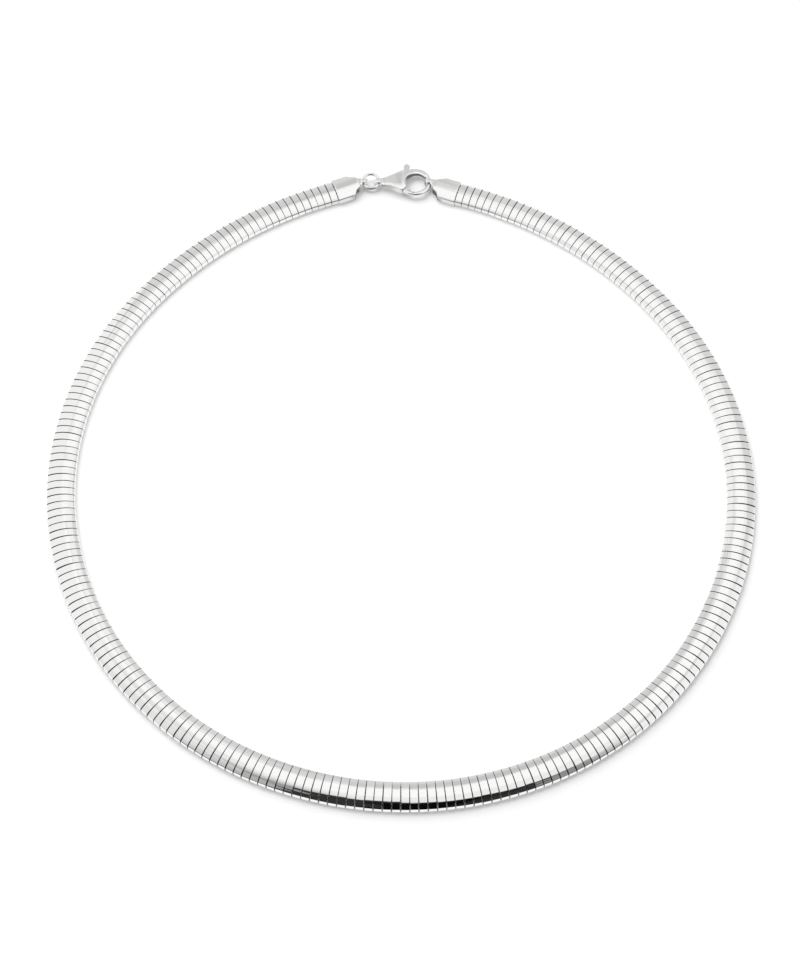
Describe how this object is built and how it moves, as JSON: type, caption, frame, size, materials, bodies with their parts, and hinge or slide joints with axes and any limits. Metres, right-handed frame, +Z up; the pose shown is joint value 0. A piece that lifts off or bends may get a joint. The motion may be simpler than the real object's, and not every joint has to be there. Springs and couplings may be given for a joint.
{
  "type": "omega necklace",
  "caption": "Closed omega necklace of domed crimped plates on a flat woven core, with tapered end caps, a jump ring and a lobster clasp, lying flat.",
  "frame": {"origin": "centre of the part's box at its underside, on the surface that it lies on", "axes": "+X to the right as seen from the front, +Y towards the clasp at the back, +Z up, out of the domed side"},
  "size_m": [0.149, 0.1588, 0.0022],
  "materials": {
    "band": "polished silver",
    "end_caps": "polished silver",
    "jump_ring": "polished silver",
    "clasp": "polished cast silver",
    "lever": "polished silver"
  },
  "bodies": {
    "necklace": {"band_left": "band", "band_right": "band", "end_cap_left": "end_caps", "end_cap_right": "end_caps", "jump_ring": "jump_ring", "clasp_body": "clasp"},
    "lever": {"clasp_lever": "lever"}
  },
  "joints": [
    {"name": "lever_hinge", "type": "hinge", "parent": "necklace", "child": "lever", "pos_m": [-0.00089, 0.07376, 0.0011], "axis": [0, 0, 1], "range_deg": [0, 18], "stiffness_Nm_per_rad": 0.002, "springref_deg": -17.19}
  ]
}
